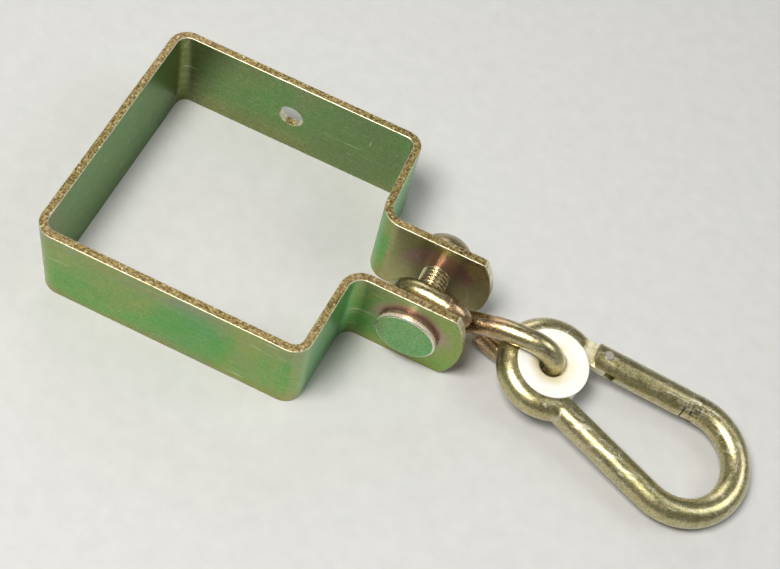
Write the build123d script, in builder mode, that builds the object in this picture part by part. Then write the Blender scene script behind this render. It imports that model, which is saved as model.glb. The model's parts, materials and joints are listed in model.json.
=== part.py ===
from build123d import *
import math
import os

# Timber suspension bracket with an S link, a bushed eye snap hook and a sprung gate.
# Millimetres. The assembly lies on a level floor at z = -STRAP_W / 2, as it rests when laid down.
# +X runs from the timber seat towards the hook, +Y across the strap, +Z along the strip's width.
# The origin is the middle of the inner face of the back wall, where the timber bears.

# strap
STRAP_W = 35.0          # width of the steel strip
STRAP_T = 3.0           # thickness of the strip
OPEN_Y = 92.0           # clear width between the side walls
SHOULDER_X0 = 90.6      # inner face of the shoulders at the side walls
SHOULDER_X1 = 92.1      # inner face of the shoulders at the ears
EAR_GAP = 21.5          # clear gap between the ears
EAR_OUT = EAR_GAP / 2 + STRAP_T     # outer face of the ears, from the middle
EAR_TIP_X = 136.4       # furthest point of the ear ends
EAR_TIP_R = 34.0        # radius of the arc that ends each ear
EAR_CORNER_R = 1.6      # rounding where that arc meets the strip's edges
BACK_BEND = 5.5         # mid-line radius of the back corners
SHOULDER_BEND = 5.0     # mid-line radius of the shoulder corners
EAR_BEND = 6.5          # mid-line radius where shoulders turn into ears
SCREW_X = 44.1          # screw hole in the +Y wall
SCREW_D = 9.5
EDGE_ROUND = 0.35       # roll-over left by shearing the strip

# pivot bolt and nut, M10
PIVOT_X = 117.0
BOLT_D = 10.0
BOLT_HOLE_D = 10.2
BOLT_END_Y = 22.0
BOLT_END_CHAMFER = 0.9
HEAD_D = 21.7
HEAD_T = 3.0
HEAD_ROUND = 0.7        # outer rim of the head
HEAD_CHAMFER = 0.8      # rim of the head against the ear
THREAD_PITCH = 1.5
THREAD_DEPTH = 0.85
THREAD_START_Y = -1.0
THREAD_END_GAP = 0.8    # least plain length after the last groove
# one groove: (distance along the pitch, depth below the crest)
THREAD_FORM = ((0.62, THREAD_DEPTH), (0.82, THREAD_DEPTH), (1.38, 0), (THREAD_PITCH, 0))
NUT_D = 22.2
NUT_SKIRT = 1.6         # straight height below the dome
NUT_H = 12.7
NUT_BORE_DEPTH = 9.4
NUT_BORE_GAP = 0.06     # radial
NUT_CHAMFER = 0.5

# S link
LINK_D = 7.6
LINK_STATIONS = 26
EYE_R = 9.2             # mid-line radius of the eye round the bolt
LOOP_X = 156.7          # middle of the lower loop's bend
LOOP_BOTTOM_Z = -13.54
LOOP_TOP_Z = 5.2
# mid-line points (x, y, z), from the free end at the bolt to the free end at the hook
LINK_EYE_END = [
    (131.6, -5.0, 5.9), (130.2, -4.95, 7.6), (127.6, -4.8, 9.0),
    (124.0, -4.5, 9.5), (120.3, -4.15, 9.45),
]
# (degrees round the bolt, y): the eye leans so that its free end passes beside the shank
LINK_EYE = [
    (95, -3.8), (120, -3.4), (145, -3.0), (170, -2.55), (195, -2.1),
    (220, -1.6), (245, -1.1), (270, -0.6), (292, -0.2),
]
LINK_SHANK = [
    (125.4, 0, -6.0), (130.2, 0, -3.1), (135.2, 0, -0.3), (139.8, 0, 1.9),
    (144.4, 0, 3.7), (149.2, 0, 4.8), (152.9, 0, 5.15),
]
LINK_LOOP_DEG = range(90, -61, -25)
LINK_LOOP_END = [
    (156.5, 0.3, -13.61), (151.0, 1.2, -13.59), (145.9, 2.3, -13.1),
    (141.5, 2.9, -11.6), (138.5, 3.2, -10.0),
]

# snap hook: its own plane, origin in the middle of the small eye, x towards the bow
HOOK_ORIGIN = (165.0, -0.7, -5.3)
HOOK_ROLL = 2.6         # degrees about X
HOOK_PITCH = 5.25       # degrees about Y
HOOK_PLANE = Plane(HOOK_ORIGIN).rotated((HOOK_ROLL, HOOK_PITCH, 0))
ROD_D = 10.0
RING_R = 13.5           # mid-line radius of the small eye
RING_END_DEG = 58.5     # where the eye's rod ends
RING_END_CHAMFER = 1.6
NECK_R = 5.7            # bend where the back rod meets the eye
BOW_X, BOW_Y, BOW_R = 52.8, -6.6, 19.3
BACK_ROD_START = (10.4, -12.2)      # the back rod's line passes through here
GATE_Y = BOW_Y + BOW_R  # the gate lies on the straight side
NOSE_X = 51.6
RIVET_X = 16.4
RIVET_D = 3.5
RIVET_HOLE_GAP = 0.06   # radial, in the tongue
RIVET_PROUD = 0.05      # at each end
RIVET_CHAMFER = 0.3

# tongue that carries the gate
TONGUE_T = 2.9
TONGUE_END_X = RIVET_X + 3.5
TONGUE_Y0 = GATE_Y - 4.8
TONGUE_Y1 = GATE_Y + 4.0
# closed outline (x, y)
TONGUE_OUTLINE = [
    (1.5, 12.4), (4.2, 16.3), (8.2, TONGUE_Y1 - 0.2), (10.2, TONGUE_Y1),
    (TONGUE_END_X - 1.7, TONGUE_Y1), (TONGUE_END_X, GATE_Y + 2.3),
    (TONGUE_END_X, GATE_Y - 2.3), (TONGUE_END_X - 1.9, TONGUE_Y0),
    (10.2, TONGUE_Y0), (8.6, 7.0), (5.8, 8.4), (1.5, 12.4),
]

# T nose and its slot in the gate
NOSE_FACE_R = 35.90     # arc about the rivet
NOSE_R = ROD_D / 2 - 0.25
NOSE_NECK_ROOT = 1.2    # how far past NOSE_X the neck starts, inside the rod
NOSE_NECK_T = 3.4
NOSE_HEAD_T = 6.6
NOSE_HEAD_X0, NOSE_HEAD_X1 = 47.4, 49.4
T_SLOT_PLAY = 0.5       # extra slot thickness
T_SLOT_GAP_X0 = 0.55    # gap on the rivet side of the head
T_SLOT_GAP_X1 = 0.5     # gap on the bow side of the head
T_MOUTH_L = 6.0

# gate
GATE_X0 = 12.0
GATE_END_R = 35.76      # the free end is an arc about the rivet
GATE_D = 10.0
GATE_CHAMFER = 0.45
FORK_ROUND = 3.4
FORK_T = 3.3            # slot in the gate for the tongue
FORK_END_X = RIVET_X + 5.3
BORE_D = 4.7
BORE_END_X = 38.5
CUT = 10.0              # reach of the gate and nose cuts each side of the hook's plane
CUT_W = 14.0            # width of the cuts that run right across the gate

# plunger and spring
SEAT_GAP = 0.05         # gap at the tongue and at the spring's ends
PLUNGER_D = 4.4
PLUNGER_X0 = TONGUE_END_X + SEAT_GAP
PLUNGER_L = 5.6
PLUNGER_ROUND = 0.5
SPIGOT_L = 2.4          # reduced end that enters the spring
SPIGOT_GAP = 0.1        # radial
SPRING_WIRE = 0.7
SPRING_D = 4.2
SPRING_PITCH = 1.45

# bush in the small eye
BUSH_HOLE_R = 5.4
BUSH_FLANGE_R = 12.6
BUSH_H = 5.25           # half height
BUSH_RIM_IN, BUSH_RIM_DOWN = 0.3, 0.2   # bevel on the flange rim
GROOVE_R = 5.08
# the hole's mouth is an arc through these (radius, height) points
MOUTH_PTS = ((BUSH_HOLE_R, 2.2), (6.9, 4.3), (9.2, BUSH_H))

ROUND_MID = 0.293       # inset of a quarter round's middle, as a share of its radius


def hook_at(x, y):
    """A point given in the hook's plane."""
    return HOOK_PLANE.from_local_coords(Vector(x, y, 0))


def hook_cross(x, y):
    """A plane square to the hook's x at a local point; its own x is the hook's z."""
    return Plane(origin=hook_at(x, y), x_dir=HOOK_PLANE.z_dir, z_dir=HOOK_PLANE.x_dir)


def circle_nearest(builder, point):
    """The circular edge whose centre of mass is nearest to a point."""
    circles = builder.edges().filter_by(GeomType.CIRCLE)
    return circles.sort_by(lambda edge: (edge.center(CenterOf.MASS) - point).length)[0]


def on_circle(radius, degrees):
    angle = math.radians(degrees)
    return (radius * math.cos(angle), radius * math.sin(angle))


def make_bracket_strap():
    wall_mid = OPEN_Y / 2 + STRAP_T / 2
    ear_mid = EAR_GAP / 2 + STRAP_T / 2
    half_w = STRAP_W / 2
    # +Y half of the strip's mid-line, from ear to back; the ear runs on and is trimmed below
    half_line = [
        (EAR_TIP_X + 4, ear_mid),
        (SHOULDER_X1 + STRAP_T / 2, ear_mid),
        (SHOULDER_X0 + STRAP_T / 2, wall_mid),
        (-STRAP_T / 2, wall_mid),
    ]
    with BuildPart() as strap:
        with BuildSketch(Plane.XY.offset(-half_w)):
            with BuildLine() as mid:
                Polyline(*half_line, *[(x, -y) for x, y in reversed(half_line)])
                fillet([v for v in mid.vertices() if v.X < 10], radius=BACK_BEND)
                fillet([v for v in mid.vertices() if 60 < v.X < 100 and abs(v.Y) > 40],
                       radius=SHOULDER_BEND)
                fillet([v for v in mid.vertices() if 60 < v.X < 100 and abs(v.Y) < 20],
                       radius=EAR_BEND)
                offset(amount=STRAP_T / 2, side=Side.BOTH)
            make_face()
        extrude(amount=STRAP_W)
        # the rounded ends of the ears: cut away what lies outside the arc
        edge_x = EAR_TIP_X - EAR_TIP_R + math.sqrt(EAR_TIP_R ** 2 - half_w ** 2)
        cut_x0, cut_x1 = EAR_TIP_X - 20, EAR_TIP_X + 20
        cut_z = half_w + 10
        with BuildSketch(Plane.XZ) as ends:
            with BuildLine():
                ThreePointArc((edge_x, -half_w), (EAR_TIP_X, 0), (edge_x, half_w))
                Polyline((edge_x, half_w), (cut_x0, half_w), (cut_x0, cut_z), (cut_x1, cut_z),
                         (cut_x1, -cut_z), (cut_x0, -cut_z), (cut_x0, -half_w),
                         (edge_x, -half_w))
            make_face()
            fillet([v for v in ends.vertices() if abs(v.X - edge_x) < 0.01],
                   radius=EAR_CORNER_R)
        extrude(amount=60, both=True, mode=Mode.SUBTRACT)
        # bolt holes through both ears
        with BuildSketch(Plane.XZ):
            with Locations((PIVOT_X, 0)):
                Circle(BOLT_HOLE_D / 2)
        extrude(amount=30, both=True, mode=Mode.SUBTRACT)
        # one screw hole, through the +Y wall
        with BuildSketch(Plane.XZ.offset(-OPEN_Y / 2 + 10)):
            with Locations((SCREW_X, 0)):
                Circle(SCREW_D / 2)
        extrude(amount=-30, mode=Mode.SUBTRACT)
        by_height = strap.faces().sort_by(Axis.Z)
        fillet(by_height[-1].edges() + by_height[0].edges(), radius=EDGE_ROUND)
    return strap.part


# half sections of the bolt and nut are drawn as (radius, y) in this plane
BOLT_PLANE = Plane(origin=(PIVOT_X, 0, 0), x_dir=(1, 0, 0), z_dir=(0, 0, 1))
BOLT_AXIS = Axis((PIVOT_X, 0, 0), (0, 1, 0))


def make_pivot_bolt():
    """Bolt with its head on the -Y ear; the thread is a row of rings."""
    shank_r = BOLT_D / 2
    head_r = HEAD_D / 2
    head_y0, head_y1 = -EAR_OUT - HEAD_T, -EAR_OUT
    outline = [(head_r, head_y0 + HEAD_ROUND), (head_r, head_y1 - HEAD_CHAMFER),
               (head_r - HEAD_CHAMFER, head_y1), (shank_r, head_y1), (shank_r, THREAD_START_Y)]
    y = THREAD_START_Y
    while y + THREAD_PITCH < BOLT_END_Y - THREAD_END_GAP:
        outline += [(shank_r - depth, y + along) for along, depth in THREAD_FORM]
        y += THREAD_PITCH
    outline += [(shank_r, BOLT_END_Y - BOLT_END_CHAMFER),
                (shank_r - BOLT_END_CHAMFER, BOLT_END_Y), (0, BOLT_END_Y), (0, head_y0)]
    with BuildPart() as bolt:
        with BuildSketch(BOLT_PLANE):
            with BuildLine():
                inset = HEAD_ROUND * ROUND_MID
                Polyline((0, head_y0), (head_r - HEAD_ROUND, head_y0))
                ThreePointArc((head_r - HEAD_ROUND, head_y0), (head_r - inset, head_y0 + inset),
                              (head_r, head_y0 + HEAD_ROUND))
                Polyline(*outline)
            make_face()
        revolve(axis=BOLT_AXIS)
    return bolt.part


def make_cap_nut():
    """Domed nut on the +Y ear, with a plain blind bore."""
    nut_r = NUT_D / 2
    bore_r = BOLT_D / 2 + NUT_BORE_GAP
    bore_y = EAR_OUT + NUT_BORE_DEPTH
    skirt_y = EAR_OUT + NUT_SKIRT
    top_y = EAR_OUT + NUT_H
    diagonal = math.sqrt(0.5)
    with BuildPart() as nut:
        with BuildSketch(BOLT_PLANE):
            with BuildLine():
                Polyline((0, top_y), (0, bore_y), (bore_r, bore_y),
                         (bore_r, EAR_OUT + NUT_CHAMFER), (bore_r + NUT_CHAMFER, EAR_OUT),
                         (nut_r - NUT_CHAMFER, EAR_OUT), (nut_r, EAR_OUT + NUT_CHAMFER),
                         (nut_r, skirt_y))
                ThreePointArc((nut_r, skirt_y),
                              (nut_r * diagonal, skirt_y + (NUT_H - NUT_SKIRT) * diagonal),
                              (0, top_y))
            make_face()
        revolve(axis=BOLT_AXIS)
    return nut.part


def link_stations():
    """Points and unit tangents, evenly spaced along a smooth curve through the link's points."""
    loop_r = (LOOP_TOP_Z - LOOP_BOTTOM_Z) / 2
    loop_z = (LOOP_TOP_Z + LOOP_BOTTOM_Z) / 2
    points = list(LINK_EYE_END)
    for degrees, y in LINK_EYE:
        x, z = on_circle(EYE_R, degrees)
        points.append((PIVOT_X + x, y, z))
    points += LINK_SHANK
    for degrees in LINK_LOOP_DEG:
        x, z = on_circle(loop_r, degrees)
        points.append((LOOP_X + x, 0, loop_z + z))
    points += LINK_LOOP_END
    curve = Edge.make_spline([Vector(*point) for point in points])
    shares = [i / LINK_STATIONS for i in range(LINK_STATIONS + 1)]
    return [(curve.position_at(s), curve.tangent_at(s).normalized()) for s in shares]


def make_s_link():
    stations = link_stations()
    with BuildPart() as link:
        with BuildLine():
            # each span is a pair of arcs that share a tangent where they join
            for (start, start_dir), (end, end_dir) in zip(stations, stations[1:]):
                chord = end - start
                along = chord.dot(start_dir + end_dir)
                turn = 1 - start_dir.dot(end_dir)
                # equal tangent lengths at both ends of the span
                reach = (-along + math.sqrt(along ** 2 + 2 * turn * chord.dot(chord))) / (2 * turn)
                corner0 = start + start_dir * reach
                corner1 = end - end_dir * reach
                join = (corner0 + corner1) * 0.5
                TangentArc(start, join, tangent=start_dir)
                TangentArc(join, end, tangent=(corner1 - corner0).normalized())
        with BuildSketch(Plane(origin=stations[0][0], z_dir=stations[0][1])):
            Circle(LINK_D / 2)
        sweep()
    return link.part


def make_eye_thimble():
    """Bush with a grooved rim that the eye's rod sits in."""
    # half section drawn as (radius, height)
    section_plane = Plane(origin=HOOK_PLANE.origin, x_dir=HOOK_PLANE.x_dir,
                          z_dir=-HOOK_PLANE.y_dir)
    groove_h = math.sqrt(GROOVE_R ** 2 - (RING_R - BUSH_FLANGE_R) ** 2)
    mouth_r, mouth_h = MOUTH_PTS[0]
    # flat face and rim on the upper side, ending at the groove
    rim = [MOUTH_PTS[-1], (BUSH_FLANGE_R - BUSH_RIM_IN, BUSH_H),
           (BUSH_FLANGE_R, BUSH_H - BUSH_RIM_DOWN), (BUSH_FLANGE_R, groove_h)]
    with BuildPart() as bush:
        with BuildSketch(section_plane):
            with BuildLine():
                ThreePointArc(*MOUTH_PTS)
                Polyline(*rim)
                ThreePointArc((BUSH_FLANGE_R, groove_h), (RING_R - GROOVE_R, 0),
                              (BUSH_FLANGE_R, -groove_h))
                Polyline(*[(radius, -height) for radius, height in reversed(rim)])
                ThreePointArc(*[(radius, -height) for radius, height in reversed(MOUTH_PTS)])
                Line((mouth_r, -mouth_h), (mouth_r, mouth_h))
            make_face()
        revolve(axis=Axis(HOOK_PLANE.origin, HOOK_PLANE.z_dir))
    return bush.part


def make_hook_body():
    # the back rod's line is tangent to the bow
    rod_x, rod_y = BACK_ROD_START
    to_bow_x, to_bow_y = BOW_X - rod_x, BOW_Y - rod_y
    angle = math.atan2(to_bow_y, to_bow_x) - math.asin(BOW_R / math.hypot(to_bow_x, to_bow_y))
    dir_x, dir_y = math.cos(angle), math.sin(angle)
    bow_end = (BOW_X + BOW_R * dir_y, BOW_Y - BOW_R * dir_x)
    # the neck is where that line crosses the eye's circle
    along = rod_x * dir_x + rod_y * dir_y
    step = -along + math.sqrt(along ** 2 - (rod_x ** 2 + rod_y ** 2 - RING_R ** 2))
    neck = (rod_x + step * dir_x, rod_y + step * dir_y)
    neck_deg = math.degrees(math.atan2(neck[1], neck[0]))
    ring_mid = on_circle(RING_R, (neck_deg + RING_END_DEG - 360) / 2)
    ring_end = on_circle(RING_R, RING_END_DEG)

    with BuildPart() as body:
        with BuildLine(HOOK_PLANE) as rod:
            Line((NOSE_X, GATE_Y), (BOW_X, GATE_Y))
            ThreePointArc((BOW_X, GATE_Y), (BOW_X + BOW_R, BOW_Y), bow_end)
            Line(bow_end, neck)
            ThreePointArc(neck, ring_mid, ring_end)
            fillet([v for v in rod.vertices()
                    if (Vector(v.X, v.Y, v.Z) - hook_at(*neck)).length < 0.01], radius=NECK_R)
        with BuildSketch(hook_cross(NOSE_X, GATE_Y)):
            Circle(ROD_D / 2)
        sweep()
        # the round rod is eased where it is pressed flat for the tongue
        chamfer(circle_nearest(body, hook_at(*ring_end)), length=RING_END_CHAMFER)
        with BuildSketch(HOOK_PLANE):
            with BuildLine():
                Polyline(*TONGUE_OUTLINE)
            make_face()
        extrude(amount=TONGUE_T / 2, both=True)
        with BuildSketch(HOOK_PLANE):
            with Locations((RIVET_X, GATE_Y)):
                Circle(RIVET_D / 2 + RIVET_HOLE_GAP)
        extrude(amount=CUT, both=True, mode=Mode.SUBTRACT)
        # the nose face is an arc about the rivet, so the gate swings past with an even gap
        with BuildSketch(HOOK_PLANE):
            with Locations((RIVET_X, GATE_Y)):
                Circle(NOSE_FACE_R)
            with Locations((RIVET_X + NOSE_FACE_R, GATE_Y)):
                Rectangle(8, 12, mode=Mode.INTERSECT)
        extrude(amount=CUT, both=True, mode=Mode.SUBTRACT)
        # T nose: a flat neck, then a thicker head
        for start_x, thickness in ((NOSE_X + NOSE_NECK_ROOT, NOSE_NECK_T),
                                   (NOSE_HEAD_X1, NOSE_HEAD_T)):
            with BuildSketch(hook_cross(start_x, GATE_Y)):
                Circle(NOSE_R)
                Rectangle(thickness, ROD_D, mode=Mode.INTERSECT)
            extrude(amount=-(start_x - NOSE_HEAD_X0))
    return body.part


def make_hook_gate():
    gate_r = GATE_D / 2
    with BuildPart() as gate:
        with BuildSketch(hook_cross(GATE_X0, GATE_Y)):
            Circle(gate_r)
        extrude(amount=RIVET_X + GATE_END_R - GATE_X0 + 1)
        chamfer(circle_nearest(gate, hook_at(GATE_X0, GATE_Y)), length=GATE_CHAMFER)
        # free end
        with BuildSketch(HOOK_PLANE):
            with Locations((RIVET_X + GATE_END_R, GATE_Y)):
                Rectangle(8, CUT_W)
            with Locations((RIVET_X, GATE_Y)):
                Circle(GATE_END_R, mode=Mode.SUBTRACT)
        extrude(amount=CUT, both=True, mode=Mode.SUBTRACT)
        # the fork end is rounded in the plane of the hook
        round_x = GATE_X0 + FORK_ROUND
        inset = FORK_ROUND * ROUND_MID
        with BuildSketch(HOOK_PLANE):
            for side in (1, -1):
                side_y = GATE_Y + side * gate_r
                round_y = GATE_Y + side * (gate_r - FORK_ROUND)
                clear_y = GATE_Y + side * 8
                with BuildLine():
                    Polyline((GATE_X0, round_y), (GATE_X0 - 3, round_y), (GATE_X0 - 3, clear_y),
                             (round_x, clear_y), (round_x, side_y))
                    ThreePointArc((round_x, side_y), (GATE_X0 + inset, side_y - side * inset),
                                  (GATE_X0, round_y))
                make_face()
        extrude(amount=CUT, both=True, mode=Mode.SUBTRACT)
        # fork slot for the tongue
        slot_x0 = GATE_X0 - 4
        with BuildSketch(HOOK_PLANE):
            with Locations(((slot_x0 + FORK_END_X) / 2, GATE_Y)):
                Rectangle(FORK_END_X - slot_x0, CUT_W)
        extrude(amount=FORK_T / 2, both=True, mode=Mode.SUBTRACT)
        # bore for the plunger and its spring
        bore_x0 = PLUNGER_X0 - 1
        with BuildSketch(hook_cross(bore_x0, GATE_Y)):
            Circle(BORE_D / 2)
        extrude(amount=BORE_END_X - bore_x0, mode=Mode.SUBTRACT)
        # T slot for the nose: a narrow mouth, then a wider chamber, cut right across
        chamber_x0 = NOSE_HEAD_X0 - T_SLOT_GAP_X0
        chamber_x1 = NOSE_HEAD_X1 + T_SLOT_GAP_X1
        for start_x, length, thickness in (
                (chamber_x1, T_MOUTH_L, NOSE_NECK_T),
                (chamber_x0, chamber_x1 - chamber_x0, NOSE_HEAD_T)):
            with BuildSketch(hook_cross(start_x, GATE_Y)):
                Rectangle(thickness + T_SLOT_PLAY, CUT_W)
            extrude(amount=length, mode=Mode.SUBTRACT)
        # rivet hole through both cheeks
        with BuildSketch(HOOK_PLANE):
            with Locations((RIVET_X, GATE_Y)):
                Circle(RIVET_D / 2)
        extrude(amount=CUT, both=True, mode=Mode.SUBTRACT)
    return gate.part


def make_gate_rivet():
    with BuildPart() as rivet:
        with BuildSketch(HOOK_PLANE.offset(-GATE_D / 2 - RIVET_PROUD)):
            with Locations((RIVET_X, GATE_Y)):
                Circle(RIVET_D / 2)
        extrude(amount=GATE_D + 2 * RIVET_PROUD)
        chamfer(rivet.edges().filter_by(GeomType.CIRCLE), length=RIVET_CHAMFER)
    return rivet.part


def make_gate_plunger():
    with BuildPart() as plunger:
        with BuildSketch(hook_cross(PLUNGER_X0, GATE_Y)):
            Circle(PLUNGER_D / 2)
        extrude(amount=PLUNGER_L)
        with BuildSketch(hook_cross(PLUNGER_X0 + PLUNGER_L, GATE_Y)):
            Circle(SPRING_D / 2 - SPRING_WIRE - SPIGOT_GAP)
        extrude(amount=SPIGOT_L)
        fillet(circle_nearest(plunger, hook_at(PLUNGER_X0, GATE_Y)), radius=PLUNGER_ROUND)
    return plunger.part


def make_gate_spring():
    """Spring between the plunger's shoulder and the end of the bore."""
    start_x = PLUNGER_X0 + PLUNGER_L + SPRING_WIRE / 2 + SEAT_GAP
    end_x = BORE_END_X - SPRING_WIRE / 2 - SEAT_GAP
    with BuildPart() as spring:
        with BuildLine() as coil:
            Helix(pitch=SPRING_PITCH, height=end_x - start_x,
                  radius=SPRING_D / 2 - SPRING_WIRE / 2,
                  center=hook_at(start_x, GATE_Y), direction=HOOK_PLANE.x_dir)
        with BuildSketch(Plane(origin=coil.line @ 0, z_dir=coil.line % 0)):
            Circle(SPRING_WIRE / 2)
        sweep()
    return spring.part


PIECES = {
    "bracket_strap": make_bracket_strap,
    "pivot_bolt": make_pivot_bolt,
    "cap_nut": make_cap_nut,
    "s_link": make_s_link,
    "eye_thimble": make_eye_thimble,
    "hook_body": make_hook_body,
    "hook_gate": make_hook_gate,
    "gate_rivet": make_gate_rivet,
    "gate_plunger": make_gate_plunger,
    "gate_spring": make_gate_spring,
}

os.makedirs("parts", exist_ok=True)
for name, make in PIECES.items():
    part = make()
    part.label = name
    export_step(part, f"parts/{name}.step")
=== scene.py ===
import json
import math

import bmesh
import bpy
from mathutils import Matrix, Vector
from mathutils.bvhtree import BVHTree

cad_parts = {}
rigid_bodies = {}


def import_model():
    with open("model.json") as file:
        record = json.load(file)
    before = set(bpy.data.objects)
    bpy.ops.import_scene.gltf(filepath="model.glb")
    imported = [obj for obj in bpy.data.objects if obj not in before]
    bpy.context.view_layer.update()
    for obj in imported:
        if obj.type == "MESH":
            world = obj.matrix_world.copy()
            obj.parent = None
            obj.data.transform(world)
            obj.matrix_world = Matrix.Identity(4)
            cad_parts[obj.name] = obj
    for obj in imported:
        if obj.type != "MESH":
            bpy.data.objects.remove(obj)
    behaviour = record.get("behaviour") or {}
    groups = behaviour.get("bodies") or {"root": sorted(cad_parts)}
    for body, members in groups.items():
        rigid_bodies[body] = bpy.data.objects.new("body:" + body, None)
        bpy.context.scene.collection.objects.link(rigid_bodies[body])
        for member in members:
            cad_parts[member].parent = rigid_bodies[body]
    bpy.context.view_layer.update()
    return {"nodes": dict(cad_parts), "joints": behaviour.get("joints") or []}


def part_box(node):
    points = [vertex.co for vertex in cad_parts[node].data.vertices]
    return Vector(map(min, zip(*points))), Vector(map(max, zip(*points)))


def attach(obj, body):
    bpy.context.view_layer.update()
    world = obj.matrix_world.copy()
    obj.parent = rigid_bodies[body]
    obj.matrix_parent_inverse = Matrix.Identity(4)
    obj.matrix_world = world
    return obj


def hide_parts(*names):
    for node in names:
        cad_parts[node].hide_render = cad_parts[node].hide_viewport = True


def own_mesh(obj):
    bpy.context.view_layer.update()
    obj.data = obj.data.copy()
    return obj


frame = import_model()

scene = bpy.context.scene
MM = 0.001
FLOOR_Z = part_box("bracket_strap")[0].z - 0.00002

# the hook's own plane, as the gate hinge and the hook's turning joint give it
joints = {j["name"]: j for j in frame["joints"]}
HZ = Vector(joints["hook_turn"]["axis"]).normalized()
HX = Vector(joints["plunger_slide"]["axis"]).normalized()
HY = HZ.cross(HX).normalized()
HO = Vector(joints["hook_turn"]["pos_m"])
PIVOT = Vector(joints["link_swing"]["pos_m"])


def hk(x, y, h=0.0):
    """A point in the hook's plane, millimetres in, row metres out."""
    return HO + HX * (x * MM) + HY * (y * MM) + HZ * (h * MM)


# ------------------------------------------------------------------ node helpers
class Tree:
    def __init__(self, name):
        self.mat = bpy.data.materials.new(name)
        self.mat.use_nodes = True
        self.nt = self.mat.node_tree
        self.nt.nodes.clear()
        self.x = 0
        self.out = self.n("ShaderNodeOutputMaterial")
        self.coord = self.n("ShaderNodeTexCoord").outputs["Object"]
        self.geo = self.n("ShaderNodeNewGeometry")

    def n(self, kind, **props):
        node = self.nt.nodes.new(kind)
        node.location = (self.x, 0)
        self.x += 40
        for k, v in props.items():
            setattr(node, k, v)
        return node

    def link(self, a, b):
        self.nt.links.new(a, b)

    def put(self, socket, value):
        if hasattr(value, "is_output"):
            self.link(value, socket)
        else:
            socket.default_value = value

    def math(self, op, a, b=0.0, c=0.0, clamp=False):
        m = self.n("ShaderNodeMath", operation=op, use_clamp=clamp)
        self.put(m.inputs[0], a)
        self.put(m.inputs[1], b)
        if len(m.inputs) > 2:
            self.put(m.inputs[2], c)
        return m.outputs[0]

    def scale(self, vector, s):
        m = self.n("ShaderNodeVectorMath", operation="MULTIPLY")
        self.put(m.inputs[0], vector)
        m.inputs[1].default_value = s if isinstance(s, tuple) else (s, s, s)
        return m.outputs[0]

    def shift(self, vector, s):
        m = self.n("ShaderNodeVectorMath", operation="ADD")
        self.put(m.inputs[0], vector)
        m.inputs[1].default_value = s
        return m.outputs[0]

    def noise(self, scale, detail=2.0, rough=0.5, vector=None, distortion=0.0):
        m = self.n("ShaderNodeTexNoise")
        self.link(vector if vector is not None else self.coord, m.inputs["Vector"])
        m.inputs["Scale"].default_value = scale
        m.inputs["Detail"].default_value = detail
        m.inputs["Roughness"].default_value = rough
        m.inputs["Distortion"].default_value = distortion
        return m.outputs["Fac"]

    def voronoi(self, scale, vector=None, feature="F1", out="Distance", rand=1.0):
        m = self.n("ShaderNodeTexVoronoi", feature=feature)
        self.link(vector if vector is not None else self.coord, m.inputs["Vector"])
        m.inputs["Scale"].default_value = scale
        m.inputs["Randomness"].default_value = rand
        return m.outputs[out]

    def ramp(self, fac, stops, mode="LINEAR"):
        m = self.n("ShaderNodeValToRGB")
        self.link(fac, m.inputs[0])
        r = m.color_ramp
        r.interpolation = mode
        while len(r.elements) > 1:
            r.elements.remove(r.elements[-1])
        for i, (p, c) in enumerate(stops):
            e = r.elements[0] if i == 0 else r.elements.new(p)
            e.position = p
            e.color = tuple(c) + (1.0,) if len(c) == 3 else c
        return m.outputs[0]

    def span(self, value, a, b, c=0.0, d=1.0, smooth=False):
        m = self.n("ShaderNodeMapRange", clamp=True)
        if smooth:
            m.interpolation_type = "SMOOTHSTEP"
        self.put(m.inputs["Value"], value)
        m.inputs["From Min"].default_value = a
        m.inputs["From Max"].default_value = b
        m.inputs["To Min"].default_value = c
        m.inputs["To Max"].default_value = d
        return m.outputs["Result"]

    def mix(self, fac, a, b, mode="MIX"):
        m = self.n("ShaderNodeMix", data_type="RGBA", blend_type=mode)
        self.put(m.inputs["Factor"], fac)
        for key, v in (("A", a), ("B", b)):
            sock = [s for s in m.inputs if s.name == key and s.type == "RGBA"][0]
            if hasattr(v, "is_output"):
                self.link(v, sock)
            else:
                sock.default_value = tuple(v) + (1.0,) if len(v) == 3 else v
        return [s for s in m.outputs if s.type == "RGBA"][0]

    def axis(self, vector, i):
        m = self.n("ShaderNodeSeparateXYZ")
        self.link(vector, m.inputs[0])
        return m.outputs[i]

    def bevel_edge(self, radius, lo=0.02, hi=0.35):
        """1 along convex and concave arrises, from the rounded normal against the true one."""
        b = self.n("ShaderNodeBevel", samples=4)
        b.inputs["Radius"].default_value = radius
        d = self.n("ShaderNodeVectorMath", operation="DOT_PRODUCT")
        self.link(b.outputs[0], d.inputs[0])
        self.link(self.geo.outputs["Normal"], d.inputs[1])
        return self.span(d.outputs["Value"], 1.0 - lo, 1.0 - hi)

    def bump(self, height, strength, distance, normal=None):
        b = self.n("ShaderNodeBump")
        b.inputs["Strength"].default_value = strength
        b.inputs["Distance"].default_value = distance
        self.link(height, b.inputs["Height"])
        if normal is not None:
            self.link(normal, b.inputs["Normal"])
        return b.outputs[0]

    def principled(self, color, metallic, rough, normal=None, **extra):
        p = self.n("ShaderNodeBsdfPrincipled")
        self.put(p.inputs["Base Color"], color if hasattr(color, "is_output") else tuple(color) + (1.0,))
        self.put(p.inputs["Metallic"], metallic)
        self.put(p.inputs["Roughness"], rough)
        if normal is not None:
            self.link(normal, p.inputs["Normal"])
        for k, v in extra.items():
            self.put(p.inputs[k.replace("_", " ")], v)
        self.link(p.outputs[0], self.out.inputs[0])
        return p


SILVER = (0.74, 0.72, 0.60)
ARRIS_HIGHLIGHT = (0.86, 0.82, 0.62)
SOOT = (0.075, 0.058, 0.022)


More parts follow.
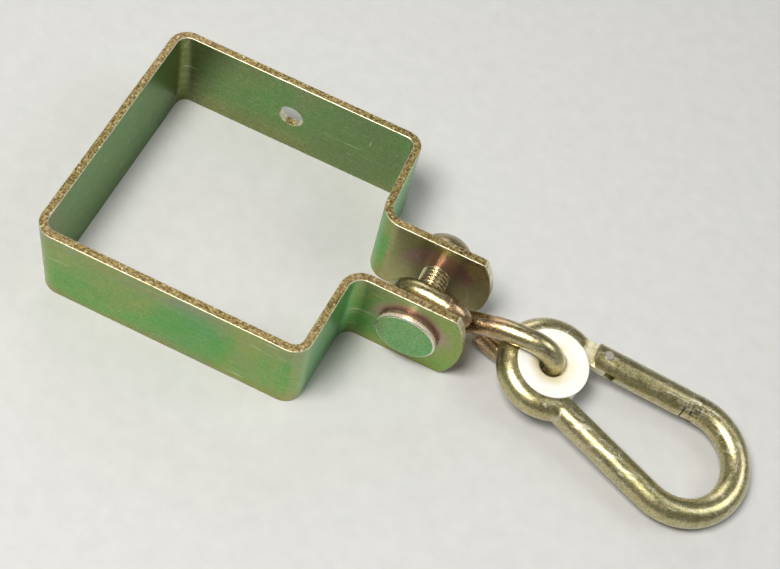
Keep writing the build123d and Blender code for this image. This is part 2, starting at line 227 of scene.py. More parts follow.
def crystal(t, co, coarse=1500.0, fine=2600.0):
    """Fine crystal grain of the plating, about 0 to 1."""
    f = t.noise(fine, 3.0, 0.7, co)
    cell = t.axis(t.voronoi(coarse, co, out="Color"), 0)
    return t.math("ADD", t.math("MULTIPLY", f, 0.62), t.math("MULTIPLY", cell, 0.38))


def hairlines(t, co, stretch, scale=55.0, lo=0.655, hi=0.70, keep=(0.50, 0.60)):
    """Sparse thin scratches, long in the direction that is stretched least."""
    line = t.noise(scale, 2.0, 0.4, t.scale(co, stretch), 0.5)
    where = t.noise(34.0, 2.0, 0.5, co)
    return t.math("MULTIPLY", t.span(line, lo, hi), t.span(where, keep[0], keep[1]))


def finish_metal(t, co, col, grainv, base_rough, rough_map, scuff, pits, grain=0.3, sway=0.25, metallic=1.0, coat=0.0):
    r = t.math("ADD", rough_map, base_rough)
    r = t.math("ADD", r, t.math("MULTIPLY", t.math("SUBTRACT", grainv, 0.5), 0.16))
    r = t.math("ADD", r, t.math("MULTIPLY", scuff, 0.12), clamp=True)
    h = t.math("ADD", t.math("MULTIPLY", grainv, 0.5), t.math("MULTIPLY", t.noise(720.0, 3.0, 0.6, co), 0.7))
    h = t.math("SUBTRACT", h, t.math("MULTIPLY", pits, 1.3))
    nrm = t.bump(h, grain, 0.00005)
    wave = t.bump(t.noise(48.0, 2.0, 0.5, co), sway, 0.0006, nrm)
    t.principled(col, metallic, r, wave, Coat_Weight=coat, Coat_Roughness=0.30, Coat_IOR=1.6)


# ------------------------------------------------------------------ materials
mats = {}

# strap: satin strip whose passivation drifts from gold at its lower edge through green to a grey violet at its upper one
t = Tree("strap_zinc")
co = t.coord
X, Y, Z = (t.axis(co, i) for i in range(3))
aY, aZ = t.math("ABSOLUTE", Y), t.math("ABSOLUTE", Z)
nrm = t.geo.outputs["True Normal"] if "True Normal" in t.geo.outputs else t.geo.outputs["Normal"]
nX, nY, nZ = (t.math("ABSOLUTE", t.axis(nrm, i)) for i in range(3))
drift = t.noise(9.0, 2.0, 0.5, co, 0.3)
drift2 = t.noise(30.0, 3.0, 0.55, co, 0.5)
roll = t.noise(1.0, 4.0, 0.62, t.scale(co, (14.0, 14.0, 620.0)))
level = t.span(Z, -0.0175, 0.0175)
level = t.math("ADD", level, t.math("MULTIPLY", t.math("SUBTRACT", drift, 0.5), 0.85))
level = t.math("ADD", level, t.math("MULTIPLY", t.math("SUBTRACT", drift2, 0.5), 0.42))
level = t.math("ADD", level, t.math("MULTIPLY", t.math("SUBTRACT", roll, 0.5), 0.22))
col = t.ramp(level, [(0.00, (0.33, 0.28, 0.08)), (0.10, (0.26, 0.34, 0.075)), (0.24, (0.16, 0.39, 0.065)), (0.56, (0.105, 0.38, 0.070)),
                     (0.80, (0.12, 0.37, 0.090)), (0.94, (0.17, 0.35, 0.13)), (1.0, (0.25, 0.31, 0.18))])
olive = t.noise(21.0, 3.0, 0.55, co, 0.9)
col = t.mix(t.span(olive, 0.46, 0.62, 0.0, 0.85), col, (0.29, 0.36, 0.085))
col = t.mix(t.span(olive, 0.46, 0.30, 0.0, 0.45), col, (0.12, 0.33, 0.13))
blush = t.noise(27.0, 3.0, 0.6, t.shift(co, (0.7, 0.2, 0.4)), 0.7)
col = t.mix(t.span(blush, 0.57, 0.72, 0.0, 0.60), col, (0.36, 0.29, 0.21))
# painted shade on the inner faces of the side walls, back wall and shoulders, a darker and browner olive; between the
# ears bronze
inner_face_shade = t.math("MULTIPLY", t.span(aY, 0.0466, 0.0461), t.span(t.math("ABSOLUTE", t.math("SUBTRACT", X, 0.0455)), 0.0461, 0.0456))
col = t.mix(t.math("MULTIPLY", inner_face_shade, t.span(drift2, 0.30, 0.65, 0.55, 0.95)), col, (0.17, 0.245, 0.095))
# deeper painted shade, dark green, on the back wall's inner face
back = t.math("MULTIPLY", inner_face_shade, t.span(X, 0.0030, 0.0012))
col = t.mix(t.math("MULTIPLY", back, t.span(drift2, 0.30, 0.70, 0.95, 0.70)), col, (0.075, 0.215, 0.022))
# painted shade, brown, along the bends by the back corners
corner_shade = t.math("MULTIPLY", inner_face_shade, t.span(X, 0.016, 0.0, 0.0, 1.0, True))
corner_shade = t.math("MULTIPLY", corner_shade, t.span(aY, 0.030, 0.044, 0.0, 1.0, True))
col = t.mix(t.math("MULTIPLY", corner_shade, 0.45), col, (0.24, 0.19, 0.08))
ears = t.math("MULTIPLY", t.span(aY, 0.0112, 0.0108), t.span(X, 0.093, 0.097))
ear_tone = t.mix(t.span(X, 0.112, 0.132, 0.0, 1.0, True), (0.40, 0.36, 0.165), (0.66, 0.56, 0.30))
col = t.mix(t.math("MULTIPLY", ears, 0.85), col, ear_tone)
# painted reflection of the bolt head's rim in the plating: a pink ring round the bolt's head and nut, strongest above
# them
dx = t.math("SUBTRACT", X, 0.117)
rad = t.math("SQRT", t.math("ADD", t.math("MULTIPLY", dx, dx), t.math("MULTIPLY", Z, Z)))
painted_rim_reflection = t.math("MULTIPLY", t.span(rad, 0.0158, 0.0120, 0.0, 1.0, True), t.span(X, 0.092, 0.097))
painted_rim_reflection = t.math("MULTIPLY", painted_rim_reflection, t.span(Z, -0.004, 0.008, 0.15, 1.0, True))
col = t.mix(t.math("MULTIPLY", painted_rim_reflection, 0.80), col, (0.50, 0.27, 0.28))
turned = t.math("MULTIPLY", t.span(X, 0.0925, 0.0935), t.span(nX, 0.55, 0.85))
col = t.mix(t.math("MULTIPLY", turned, 0.75), col, (0.17, 0.56, 0.20))
bend = t.math("MULTIPLY", t.span(X, 0.0895, 0.0905), t.span(aY, 0.036, 0.044, 0.0, 1.0, True))
col = t.mix(t.math("MULTIPLY", bend, 0.30), col, (0.46, 0.44, 0.22))
grainv = crystal(t, co)
col = t.mix(t.math("MULTIPLY", t.span(roll, 0.56, 0.74), 0.22), col, t.mix(0.6, col, (0.62, 0.62, 0.42)))
col = t.mix(t.math("MULTIPLY", t.span(roll, 0.46, 0.28), 0.20), col, t.mix(0.6, col, (0.11, 0.12, 0.05)))
col = t.mix(t.math("MULTIPLY", t.span(grainv, 0.52, 0.72), 0.20), col, t.mix(0.5, col, SILVER))
col = t.mix(t.math("MULTIPLY", t.span(grainv, 0.46, 0.26), 0.26), col, t.mix(0.6, col, SOOT))
stain = t.noise(120.0, 5.0, 0.7, co, 1.1)
col = t.mix(t.span(stain, 0.63, 0.80, 0.0, 0.34), col, t.mix(0.5, col, (0.28, 0.19, 0.08)))
pits = t.math("MULTIPLY", t.span(t.voronoi(330.0, co), 0.13, 0.05), t.span(t.noise(70.0, 2.0, 0.5, co), 0.55, 0.64))
col = t.mix(t.math("MULTIPLY", pits, 0.55), col, SOOT)
scuff = t.math("MAXIMUM", hairlines(t, co, (1.5, 1.5, 16.0), 42.0), hairlines(t, t.shift(co, (0.31, 0.12, 0.0)), (13.0, 13.0, 2.2), 40.0, 0.68, 0.72))
col = t.mix(t.math("MULTIPLY", scuff, 0.50), col, (0.70, 0.68, 0.50))
# sheared edges and hole walls: granular golden brown, with a painted highlight along the arris
cut = t.span(nZ, 0.55, 0.85)
tips = t.math("MULTIPLY", t.span(X, 0.1255, 0.1265), t.span(nY, 0.6, 0.4))
hole = t.math("MULTIPLY", t.math("MULTIPLY", t.span(aY, 0.0455, 0.0459), t.span(nY, 0.6, 0.4)),
              t.span(t.math("ABSOLUTE", t.math("SUBTRACT", X, 0.0441)), 0.0056, 0.0050))
cut = t.math("MAXIMUM", cut, t.math("MAXIMUM", tips, hole))
coarse = t.noise(1250.0, 4.0, 0.75, co)
tear = t.noise(1.0, 3.0, 0.7, t.scale(co, (900.0, 900.0, 300.0)))
cutcol = t.ramp(t.math("ADD", t.math("MULTIPLY", coarse, 0.6), t.math("MULTIPLY", tear, 0.4)),
                [(0.35, (0.04, 0.028, 0.010)), (0.44, (0.16, 0.11, 0.036)), (0.51, (0.37, 0.275, 0.095)), (0.57, (0.55, 0.45, 0.20)), (0.63, (0.95, 0.92, 0.74))])
cutcol = t.mix(t.span(drift2, 0.5, 0.75, 0.0, 0.35), cutcol, (0.50, 0.33, 0.22))
col = t.mix(cut, col, cutcol)
# painted highlight in pale cream on the rolled arris: where the normal is between the wide face and the cut one, and
# along bevelled edges
arris = t.math("MULTIPLY", t.span(nZ, 0.12, 0.30), t.span(nZ, 0.97, 0.85))
arris_highlight = t.math("MAXIMUM", arris, t.math("MULTIPLY", t.bevel_edge(0.00030, 0.02, 0.25), 0.6))
arris_highlight = t.math("MULTIPLY", arris_highlight, t.span(t.noise(380.0, 3.0, 0.6, co), 0.28, 0.60, 0.45, 1.0))
col = t.mix(t.math("MULTIPLY", arris_highlight, 0.92), col, (0.95, 0.92, 0.74))
rmap = t.math("ADD", t.span(drift2, 0.3, 0.7, 0.0, 0.08), t.math("MULTIPLY", cut, 0.14))
finish_metal(t, co, col, grainv, 0.27, rmap, scuff, pits, 0.22, 0.16, 0.92)
mats["strap"] = t.mat


def plated(name, tones, patch=60.0, rough=0.22, grain=1.0, seed=0.0, stretch=(2.0, 14.0, 14.0), extra=None, hair=1.0, coat=0.0, metal=None, calm=None):
    """Yellow passivated zinc on round stock: slow interference drifts, fine grain, hairlines, pits and a painted
    highlight along the arrises.
    """
    t = Tree(name)
    co = t.shift(t.coord, (seed, seed * 1.7, -seed * 0.6))
    big = t.noise(patch, 3.0, 0.55, co, 0.6)
    mid = t.noise(patch * 3.1, 4.0, 0.6, co, 0.3)
    drift = t.math("ADD", t.math("MULTIPLY", big, 0.72), t.math("MULTIPLY", mid, 0.28))
    face = t.n("ShaderNodeLayerWeight")
    face.inputs["Blend"].default_value = 0.35
    drift = t.math("ADD", drift, t.math("MULTIPLY", face.outputs["Facing"], 0.10))
    n = len(tones)
    col = t.ramp(drift, [(0.32 + 0.40 * i / max(n - 1, 1), c) for i, c in enumerate(tones)])
    if extra:
        col = extra(t, col)
    grainv = crystal(t, co, 2100.0, 3400.0)
    quiet = calm(t) if calm else 0.0
    if calm:
        grainv = t.math("ADD", t.math("MULTIPLY", grainv, t.math("SUBTRACT", 1.0, quiet)), t.math("MULTIPLY", quiet, 0.49))
    cloud = t.noise(340.0, 5.0, 0.72, co, 0.8)
    col = t.mix(t.math("MULTIPLY", t.span(grainv, 0.50, 0.64), 0.46 * grain), col, t.mix(0.65, col, (0.74, 0.70, 0.50)))
    col = t.mix(t.math("MULTIPLY", t.span(grainv, 0.48, 0.34), 0.50 * grain), col, t.mix(0.55, col, SOOT))
    col = t.mix(t.math("MULTIPLY", t.span(cloud, 0.52, 0.36), 0.36 * grain), col, t.mix(0.40, col, SOOT))
    stain = t.noise(170.0, 6.0, 0.72, co, 1.2)
    col = t.mix(t.span(stain, 0.64, 0.80, 0.0, 0.34), col, t.mix(0.55, col, (0.24, 0.15, 0.06)))
    pits = t.math("MULTIPLY", t.span(t.voronoi(900.0, co), 0.17, 0.07), t.span(t.noise(95.0, 2.0, 0.5, co), 0.60, 0.70))
    pits = t.math("MULTIPLY", pits, 0.45)
    col = t.mix(t.math("MULTIPLY", pits, 0.5), col, SOOT)
    scuff = t.math("MAXIMUM", hairlines(t, co, stretch, 70.0, 0.60, 0.66, (0.40, 0.52)),
                   hairlines(t, t.shift(co, (0.2, 0.4, 0.1)), (stretch[1], stretch[0] * 2, stretch[0] * 3), 60.0, 0.63, 0.68, (0.44, 0.56)))
    scuff = t.math("MULTIPLY", scuff, hair)
    col = t.mix(t.math("MULTIPLY", scuff, 0.55), col, SILVER)
    # painted highlight in pale cream along the arrises, broken up by noise except where the surface is calm
    arris_highlight = t.bevel_edge(0.0003, 0.02, 0.30)
    arris_highlight = t.math("MULTIPLY", arris_highlight, t.math("MAXIMUM", t.span(t.noise(420.0, 3.0, 0.6, co), 0.30, 0.62, 0.25, 1.0), quiet))
    col = t.mix(t.math("MULTIPLY", arris_highlight, 0.75), col, ARRIS_HIGHLIGHT)
    finish_metal(t, co, col, grainv, rough, t.span(mid, 0.3, 0.7, 0.0, 0.10), scuff, pits, 0.40 * grain, 0.22, metal(t) if metal else 1.0, coat)
    return t.mat


def bolt_tint(t, col):
    """Head green and gold, with painted shade on the inner half of its side and a painted highlight on its rim; thread
    brighter and creamier, with a painted highlight on its crests and painted shade in its roots.
    """
    y = t.axis(t.coord, 1)
    thread = t.math("MULTIPLY", t.span(y, -0.0012, -0.0004), t.span(y, 0.0232, 0.0222))
    ax, az = t.math("SUBTRACT", t.axis(t.coord, 0), PIVOT.x), t.math("SUBTRACT", t.axis(t.coord, 2), PIVOT.z)
    radius = t.math("SQRT", t.math("ADD", t.math("MULTIPLY", ax, ax), t.math("MULTIPLY", az, az)))
    # painted highlight on the thread's crests and painted shade in its roots
    crest_highlight_root_shade = t.mix(t.span(radius, 0.0043, 0.0049), (0.34, 0.25, 0.11), (0.97, 0.92, 0.66))
    col = t.mix(t.math("MULTIPLY", thread, 0.95), col, crest_highlight_root_shade)
    dome = t.span(y, 0.0142, 0.0148)
    col = t.mix(t.math("MULTIPLY", dome, t.span(t.noise(150.0, 3.0, 0.6, t.coord), 0.3, 0.7, 0.95, 0.70)), col, (0.26, 0.17, 0.06))
    head = t.span(y, -0.0133, -0.0140)
    slow = t.noise(45.0, 2.0, 0.5, t.coord)
    col = t.mix(t.math("MULTIPLY", head, t.span(slow, 0.30, 0.60, 0.60, 0.95)), col, (0.115, 0.40, 0.135))
    ny = t.math("ABSOLUTE", t.axis(t.geo.outputs["Normal"], 1))
    # painted highlight in pale cream on the rounded rim of the head
    rim = t.math("MULTIPLY", t.span(ny, 0.30, 0.60), t.span(ny, 0.992, 0.96))
    # head's side: pale pinkish on its outer half, painted shadow of a gap in dark brown on its inner half
    col = t.mix(t.math("MULTIPLY", t.math("MULTIPLY", head, t.span(ny, 0.75, 0.40)), 0.92), col, t.mix(t.span(y, -0.01535, -0.01495), (0.88, 0.70, 0.58), (0.20, 0.11, 0.06)))
    return t.mix(t.math("MULTIPLY", t.math("MULTIPLY", head, rim), 0.9), col, (0.95, 0.90, 0.78))


def thread_calm(t):
    """The rolled thread is smoother than the blank."""
    y = t.axis(t.coord, 1)
    return t.math("MULTIPLY", t.math("MULTIPLY", t.span(y, -0.0012, -0.0004), t.span(y, 0.0232, 0.0222)), 0.85)


def bolt_metal(t):
    """The head's turned side scatters more than its face."""
    y = t.axis(t.coord, 1)
    ny = t.math("ABSOLUTE", t.axis(t.geo.outputs["Normal"], 1))
    side = t.math("MULTIPLY", t.span(y, -0.0133, -0.0140), t.span(ny, 0.75, 0.40))
    return t.math("SUBTRACT", 1.0, t.math("MULTIPLY", side, 0.55))


def tongue_mask(t):
    v = t.n("ShaderNodeVectorMath", operation="DISTANCE")
    t.link(t.coord, v.inputs[0])
    v.inputs[1].default_value = hk(10.6, 12.4)
    h = t.n("ShaderNodeVectorMath", operation="DOT_PRODUCT")
    t.link(t.shift(t.coord, tuple(-c for c in HO)), h.inputs[0])
    h.inputs[1].default_value = HZ
    flatness = t.span(t.math("ABSOLUTE", h.outputs["Value"]), 0.0019, 0.0016)
    return t.math("MULTIPLY", t.span(v.outputs["Value"], 0.0105, 0.0085), flatness)


def hook_metal(t):
    """The pressed tongue is duller than the drawn rod."""
    return t.math("SUBTRACT", 1.0, t.math("MULTIPLY", tongue_mask(t), 0.60))


def link_tint(t, col):
    """Coppery along the shank, silvery over the worn loop."""
    x = t.axis(t.coord, 0)
    shank = t.math("MULTIPLY", t.span(x, 0.120, 0.126, 0.0, 1.0, True), t.span(x, 0.150, 0.142, 0.0, 1.0, True))
    col = t.mix(t.math("MULTIPLY", shank, 0.80), col, (0.40, 0.22, 0.095))
    worn = t.math("MULTIPLY", t.span(x, 0.142, 0.156, 0.0, 1.0, True), t.span(t.noise(80.0, 3.0, 0.6), 0.25, 0.60, 0.4, 1.0))
    return t.mix(t.math("MULTIPLY", worn, 0.70), col, (0.48, 0.44, 0.20))


def hook_tint(t, col):
    """The pressed tongue, lightened with painted light where it sits in shade, and the rubbed nose are paler than the
    rod.
    """
    # painted light: the tongue lifted to pale cream against the shade it sits in
    col = t.mix(t.math("MULTIPLY", tongue_mask(t), 0.9), col, (0.90, 0.84, 0.56))
    w = t.n("ShaderNodeVectorMath", operation="DISTANCE")
    t.link(t.coord, w.inputs[0])
    w.inputs[1].default_value = hk(50.6, 11.0, 3.6)
    rubbed = t.span(w.outputs["Value"], 0.0078, 0.0030, 0.0, 1.0, True)
    marks = t.math("MAXIMUM", hairlines(t, t.coord, (3.0, 16.0, 16.0), 70.0, 0.56, 0.62, (0.30, 0.40)), hairlines(t, t.shift(t.coord, (0.4, 0.1, 0.3)), (16.0, 4.0, 9.0), 60.0, 0.57, 0.62, (0.30, 0.40)))
    return t.mix(t.math("MULTIPLY", t.math("MULTIPLY", rubbed, marks), 0.9), col, (0.92, 0.88, 0.68))


mats["bolt"] = plated("bolt_zinc", [(0.36, 0.29, 0.12), (0.46, 0.37, 0.15), (0.38, 0.38, 0.15), (0.50, 0.38, 0.16), (0.50, 0.33, 0.19)],
                      60.0, 0.22, 0.42, 9.4, extra=bolt_tint, hair=0.25, metal=bolt_metal, calm=thread_calm)
mats["link"] = plated("link_zinc", [(0.38, 0.26, 0.10), (0.48, 0.32, 0.14), (0.46, 0.35, 0.13), (0.36, 0.33, 0.11), (0.46, 0.37, 0.15)],
                      55.0, 0.25, 1.0, 1.7, extra=link_tint, coat=0.7)
mats["hook"] = plated("hook_zinc", [(0.43, 0.33, 0.125), (0.47, 0.40, 0.155), (0.56, 0.48, 0.22), (0.42, 0.385, 0.145), (0.54, 0.41, 0.17)],
                      60.0, 0.27, 1.15, 5.2, extra=hook_tint, coat=0.8, metal=hook_metal)
mats["rivet"] = plated("rivet_steel", [(0.66, 0.60, 0.50), (0.78, 0.72, 0.62), (0.62, 0.54, 0.38)], 300.0, 0.30, 0.35, 7.7, hair=0.0, coat=0.6)

t = Tree("spring_wire")
co = t.coord
draw = t.noise(900.0, 2.0, 0.5, t.scale(co, (1.0, 9.0, 9.0)))
col = t.mix(t.span(draw, 0.35, 0.7), (0.42, 0.42, 0.44), (0.66, 0.66, 0.67))
t.principled(col, 1.0, t.span(draw, 0.3, 0.7, 0.22, 0.38), t.bump(draw, 0.2, 0.00004))
mats["spring"] = t.mat

# bush: moulded white nylon, stained cream where the link runs through it
t = Tree("bush_nylon")
co = t.coord
cloud = t.noise(90.0, 4.0, 0.6, co, 0.4)
col = t.mix(t.span(cloud, 0.35, 0.7), (0.80, 0.795, 0.755), (0.74, 0.73, 0.66))
rel = t.shift(co, tuple(-c for c in HO))
flat = t.n("ShaderNodeVectorMath", operation="CROSS_PRODUCT")
t.link(rel, flat.inputs[0])
flat.inputs[1].default_value = HZ
rad = t.n("ShaderNodeVectorMath", operation="LENGTH")
t.link(flat.outputs[0], rad.inputs[0])
inner = t.span(rad.outputs["Value"], 0.0092, 0.0060, 0.0, 1.0, True)
inner = t.math("MULTIPLY", inner, t.span(t.noise(260.0, 4.0, 0.6, co), 0.25, 0.70, 0.55, 1.0))
col = t.mix(t.math("MULTIPLY", inner, 0.70), col, (0.66, 0.56, 0.30))
rim = t.span(rad.outputs["Value"], 0.0122, 0.0126, 0.0, 1.0)
col = t.mix(t.math("MULTIPLY", rim, 0.40), col, (0.62, 0.58, 0.42))
rub = t.noise(120.0, 3.0, 0.6, t.scale(co, (9.0, 1.0, 9.0)), 0.3)
col = t.mix(t.span(rub, 0.64, 0.78, 0.0, 0.35), col, (0.50, 0.45, 0.33))
h = t.math("ADD", t.noise(1400.0, 3.0, 0.6, co), t.math("MULTIPLY", t.noise(220.0, 2.0, 0.5, co), 1.4))
p = t.principled(col, 0.0, t.span(cloud, 0.3, 0.7, 0.30, 0.44), t.bump(h, 0.12, 0.0001),
                 Subsurface_Weight=0.25, Subsurface_Scale=0.0015, Coat_Weight=0.12, Coat_Roughness=0.25)
p.inputs["Subsurface Radius"].default_value = (1.0, 0.85, 0.6)
mats["bush"] = t.mat

for node, key in (("bracket_strap", "strap"), ("pivot_bolt", "bolt"), ("cap_nut", "bolt"), ("s_link", "link"), ("eye_thimble", "bush"),
                  ("hook_body", "hook"), ("hook_gate", "hook"), ("gate_rivet", "rivet"), ("gate_plunger", "rivet"), ("gate_spring", "spring")):
    o = frame["nodes"][node]
    if not o.data.materials:
        o.data.materials.append(mats[key])
    for i in range(len(o.material_slots)):
        o.material_slots[i].material = mats[key]

# ------------------------------------------------------------------ pieces built here in place of plain CAD nodes
def mesh_object(name, bm, mat, body, smooth_deg=38.0):
    bmesh.ops.recalc_face_normals(bm, faces=bm.faces)
    me = bpy.data.meshes.new(name)
    bm.to_mesh(me)
    bm.free()
    for poly in me.polygons:
        poly.use_smooth = True
    me.set_sharp_from_angle(angle=math.radians(smooth_deg))
    me.materials.append(mat)
    o = bpy.data.objects.new(name, me)
    scene.collection.objects.link(o)
    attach(o, body)
    return o


def grid_mesh(rows, cap_a=True, cap_b=True):
    """A closed tube from rings of points; its ends are closed by flat faces."""
    bm = bmesh.new()
    vs = [[bm.verts.new(p) for p in ring] for ring in rows]
    n = len(rows[0])
    for a, b in zip(vs, vs[1:]):
        for i in range(n):
            j = (i + 1) % n
            bm.faces.new((a[i], a[j], b[j], b[i]))
    if cap_a:
        bm.faces.new(vs[0])
    if cap_b:
        bm.faces.new(list(reversed(vs[-1])))
    return bm


# bolt: flat round head, plain neck and a true right-hand helix
HEAD_Y0, HEAD_Y1, HEAD_R = -16.75, -13.75, 10.85
BOLT_R, PITCH, DEPTH = 5.0, 1.5, 0.85
T0, T1 = -1.0, 22.0


def thread_r(y, ang):
    ph = ((y - T0) / PITCH + ang / (2 * math.pi)) % 1.0
    tri = abs(ph - 0.5) * 2.0                       # 1 on the crest line, 0 at the root
    cut = 1.0 - min(1.0, max(0.0, (tri - 0.10) / 0.78))
    fade = min(1.0, max(0.0, (y - T0) / 1.6))
    r = BOLT_R - DEPTH * cut * fade
    if y > T1 - 0.9:
        r = min(r, BOLT_R - (y - (T1 - 0.9)))
    return max(r, 3.2)


stations = [(HEAD_Y0, 0.5), (HEAD_Y0, 4.0), (HEAD_Y0, 8.0), (HEAD_Y0, HEAD_R - 0.9)]
for k in range(1, 8):
    a = math.pi / 2 * k / 8
    stations.append((HEAD_Y0 + 0.7 * (1 - math.cos(a)), HEAD_R - 0.9 + 0.9 * math.sin(a)))
stations += [(HEAD_Y0 + 0.7, HEAD_R), (HEAD_Y1 - 0.9, HEAD_R)]
for k in range(1, 6):
    a = math.pi / 2 * k / 6
    stations.append((HEAD_Y1 - 0.5 * (1 - math.sin(a)), HEAD_R - 0.5 * (1 - math.cos(a))))
stations = [s for s in stations if s[0] <= HEAD_Y1]
stations += [(HEAD_Y1, HEAD_R - 0.7), (HEAD_Y1, 5.6), (HEAD_Y1, 5.0)]
y = HEAD_Y1 + 0.5
while y < T0:
    stations.append((y, 5.0))
    y += 1.2
SIDES = 112
rows = []
for yy, rr in stations:
    rows.append([PIVOT + Vector((rr * math.cos(a), yy, rr * math.sin(a))) * MM for a in (2 * math.pi * k / SIDES for k in range(SIDES))])
y = T0
while y <= T1 + 1e-6:
    rows.append([PIVOT + Vector((thread_r(y, a) * math.cos(a), y, thread_r(y, a) * math.sin(a))) * MM for a in (2 * math.pi * k / SIDES for k in range(SIDES))])
    y += 0.125
bm = grid_mesh(rows)
bolt = mesh_object("bolt_shaft", bm, mats["bolt"], "pivot", 50.0)
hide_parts("pivot_bolt")

# bush: the moulding closes in round the link as far as the link's rocking allows
RING_R, GROOVE_R, FLANGE_R, BUSH_H = 13.5, 5.08, 12.6, 5.25
GH = math.sqrt(GROOVE_R ** 2 - (RING_R - FLANGE_R) ** 2)


def arc3(p0, p1, p2, n):
    """Points on the circle through three points, from the first to the last."""
    (ax, ay), (bx, by), (cx, cy) = p0, p1, p2
    d = 2 * (ax * (by - cy) + bx * (cy - ay) + cx * (ay - by))
    ux = ((ax * ax + ay * ay) * (by - cy) + (bx * bx + by * by) * (cy - ay) + (cx * cx + cy * cy) * (ay - by)) / d
    uy = ((ax * ax + ay * ay) * (cx - bx) + (bx * bx + by * by) * (ax - cx) + (cx * cx + cy * cy) * (bx - ax)) / d
    r = math.hypot(ax - ux, ay - uy)
    a0, a2 = math.atan2(ay - uy, ax - ux), math.atan2(cy - uy, cx - ux)
    turn = (a2 - a0 + math.pi) % (2 * math.pi) - math.pi
    return [(ux + r * math.cos(a0 + turn * i / n), uy + r * math.sin(a0 + turn * i / n)) for i in range(n + 1)]


mouth = arc3((5.4, 2.2), (6.9, 4.3), (9.2, BUSH_H), 9)
bore = [(r, -h) for r, h in reversed(mouth)] + [(5.4, -2.2 + 0.55 * i) for i in range(1, 8)] + mouth
groove = [(RING_R - GROOVE_R * math.cos(a), GROOVE_R * math.sin(a)) for a in
          (math.asin(GH / GROOVE_R) * (1 - 2 * i / 14) for i in range(15))]
outer = [(FLANGE_R - 0.3, BUSH_H), (FLANGE_R - 0.09, BUSH_H - 0.06), (FLANGE_R, BUSH_H - 0.2)] + groove + \
        [(FLANGE_R, -BUSH_H + 0.2), (FLANGE_R - 0.09, -BUSH_H + 0.06), (FLANGE_R - 0.3, -BUSH_H)]
link_o = frame["nodes"]["s_link"]
rock = joints["thimble_rock"]
rock_at, rock_axis = Vector(rock["pos_m"]), Vector(rock["axis"]).normalized()
trees = []
for deg in (-7.0, -2.5, 2.0):
    back_turn = Matrix.Translation(rock_at) @ Matrix.Rotation(math.radians(-deg), 4, rock_axis) @ Matrix.Translation(-rock_at)
    vs = [back_turn @ link_o.matrix_world @ v.co for v in link_o.data.vertices]
    trees.append(BVHTree.FromPolygons(vs, [tuple(q.vertices) for q in link_o.data.polygons]))
BUSH_SIDES = 96
shrink = []
for r, h in bore:
    line = []
    for k in range(BUSH_SIDES):
        a = 2 * math.pi * k / BUSH_SIDES
        want = 1.5 * min(1.0, max(0.0, (9.0 - r) / 2.6))
        while want > 0.0:
            q = hk((r - want) * math.cos(a), (r - want) * math.sin(a), h)
            if all(tree.find_nearest(q)[3] > 0.00045 for tree in trees):
                break
            want -= 0.1
        line.append(max(0.0, want))
    shrink.append(line)
# keep the shape smooth: never more than the neighbours allow
for _ in range(3):
    calm = []
    for i, line in enumerate(shrink):
        up, dn = shrink[max(i - 1, 0)], shrink[min(i + 1, len(shrink) - 1)]
        calm.append([min(line[k], (line[k - 1] + line[k] + line[(k + 1) % BUSH_SIDES] + up[k] + dn[k]) / 5 + 0.02) for k in range(BUSH_SIDES)])
    shrink = calm
rows = [[hk((r - shrink[i][k]) * math.cos(2 * math.pi * k / BUSH_SIDES), (r - shrink[i][k]) * math.sin(2 * math.pi * k / BUSH_SIDES), h)
         for k in range(BUSH_SIDES)] for i, (r, h) in enumerate(bore)]
rows += [[hk(r * math.cos(2 * math.pi * k / BUSH_SIDES), r * math.sin(2 * math.pi * k / BUSH_SIDES), h) for k in range(BUSH_SIDES)] for r, h in outer]
rows.append(rows[0])
bm = grid_mesh(rows, False, False)
bmesh.ops.remove_doubles(bm, verts=bm.verts, dist=1e-7)
bush = mesh_object("bush_moulding", bm, mats["bush"], "thimble", 40.0)
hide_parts("eye_thimble")

# spring: the same coil, copied into place and carried with the gate
coil_src = frame["nodes"]["gate_spring"]
coil = bpy.data.objects.new("spring_coil", coil_src.data.copy())
coil.data.transform(coil_src.matrix_world)
scene.collection.objects.link(coil)
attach(coil, "gate")
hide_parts("gate_spring")
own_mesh(coil)

# ------------------------------------------------------------------ floor
fl = bmesh.new()
bmesh.ops.create_grid(fl, x_segments=2, y_segments=2, size=3.0)
mesh = bpy.data.meshes.new("studio_floor")
fl.to_mesh(mesh)
fl.free()
floor = bpy.data.objects.new("studio_floor", mesh)
floor.location = (0.1, 0.0, FLOOR_Z)
scene.collection.objects.link(floor)
t = Tree("studio_floor")
n = t.noise(160.0, 5.0, 0.6)
col = t.mix(t.span(n, 0.3, 0.7), (0.49, 0.488, 0.478), (0.525, 0.523, 0.512))
t.principled(col, 0.0, 0.72, t.bump(t.noise(900.0, 4.0, 0.6), 0.12, 0.0004))
mesh.materials.append(t.mat)
swing = floor.driver_add("location", 2).driver
swing.type = "SCRIPTED"
var = swing.variables.new()
var.name = "turn"
var.type = "TRANSFORMS"
var.targets[0].id = bpy.data.objects["body:pivot"]
var.targets[0].transform_type = "ROT_Y"
var.targets[0].transform_space = "WORLD_SPACE"
swing.expression = "%.5f - 0.125 * max(0, sin(turn))" % FLOOR_Z

# ------------------------------------------------------------------ camera
cam_data = bpy.data.cameras.new("photo_camera")
cam = bpy.data.objects.new("photo_camera", cam_data)
scene.collection.objects.link(cam)
right, down, ahead = Vector((0.9019, 0.4034, 0.1542)), Vector((0.4228, -0.7521, -0.5055)), Vector((-0.0880, 0.5211, -0.8489))
rot = Matrix((right, -down, -ahead)).transposed()
cam.matrix_world = Matrix.Translation(Vector((0.1454, -0.2428, 0.3948))) @ rot.to_4x4()
cam_data.sensor_width = 36.0
cam_data.sensor_fit = "HORIZONTAL"
cam_data.lens = 63.40
cam_data.clip_start = 0.01
scene.camera = cam


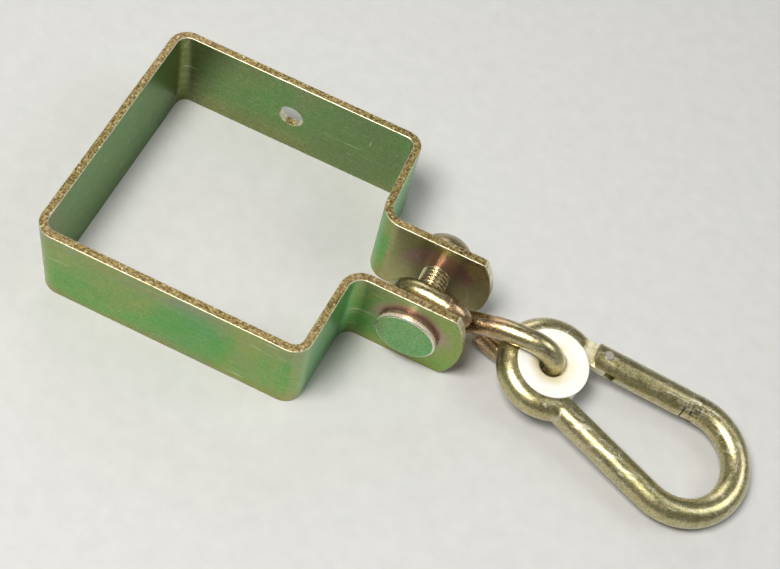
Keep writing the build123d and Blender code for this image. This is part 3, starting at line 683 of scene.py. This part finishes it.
# ------------------------------------------------------------------ light
def area(name, loc, aim, size, energy, colour=(1, 1, 1), size_y=None):
    d = bpy.data.lights.new(name, "AREA")
    d.energy = energy
    d.color = colour
    d.shape = "RECTANGLE"
    d.size = size
    d.size_y = size_y or size
    o = bpy.data.objects.new(name, d)
    o.location = loc
    o.rotation_mode = "QUATERNION"
    o.rotation_quaternion = (Vector(aim) - Vector(loc)).to_track_quat("-Z", "Y")
    scene.collection.objects.link(o)
    return o


area("key", (-0.10, -0.30, 0.85), (0.12, 0, 0), 0.34, 10.5, (1.0, 0.985, 0.95))
area("fill", (0.75, 0.25, 0.70), (0.12, 0, 0), 0.5, 2.4, (0.96, 0.98, 1.0))
area("back", (-0.3, 0.8, 0.5), (0.1, 0, 0), 0.6, 2.2)

world = bpy.data.worlds.new("studio")
scene.world = world
world.use_nodes = True
wt = world.node_tree
wt.nodes.clear()
wo = wt.nodes.new("ShaderNodeOutputWorld")
lp = wt.nodes.new("ShaderNodeLightPath")
seen = wt.nodes.new("ShaderNodeBackground")
seen.inputs[0].default_value = (0.72, 0.72, 0.71, 1)
seen.inputs[1].default_value = 0.9
tc = wt.nodes.new("ShaderNodeTexCoord")
sep = wt.nodes.new("ShaderNodeSeparateXYZ")
wt.links.new(tc.outputs["Generated"], sep.inputs[0])
wr = wt.nodes.new("ShaderNodeValToRGB")
wt.links.new(sep.outputs[2], wr.inputs[0])
wr.color_ramp.elements[0].position = 0.0
wr.color_ramp.elements[0].color = (0.30, 0.30, 0.285, 1)
wr.color_ramp.elements[1].position = 1.0
wr.color_ramp.elements[1].color = (0.10, 0.10, 0.095, 1)
lit = wt.nodes.new("ShaderNodeBackground")
wt.links.new(wr.outputs[0], lit.inputs[0])
lit.inputs[1].default_value = 0.9
ms = wt.nodes.new("ShaderNodeMixShader")
wt.links.new(lp.outputs["Is Camera Ray"], ms.inputs[0])
wt.links.new(lit.outputs[0], ms.inputs[1])
wt.links.new(seen.outputs[0], ms.inputs[2])
wt.links.new(ms.outputs[0], wo.inputs[0])

scene.view_settings.view_transform = "Standard"
scene.view_settings.look = "None"
scene.view_settings.exposure = 0.0
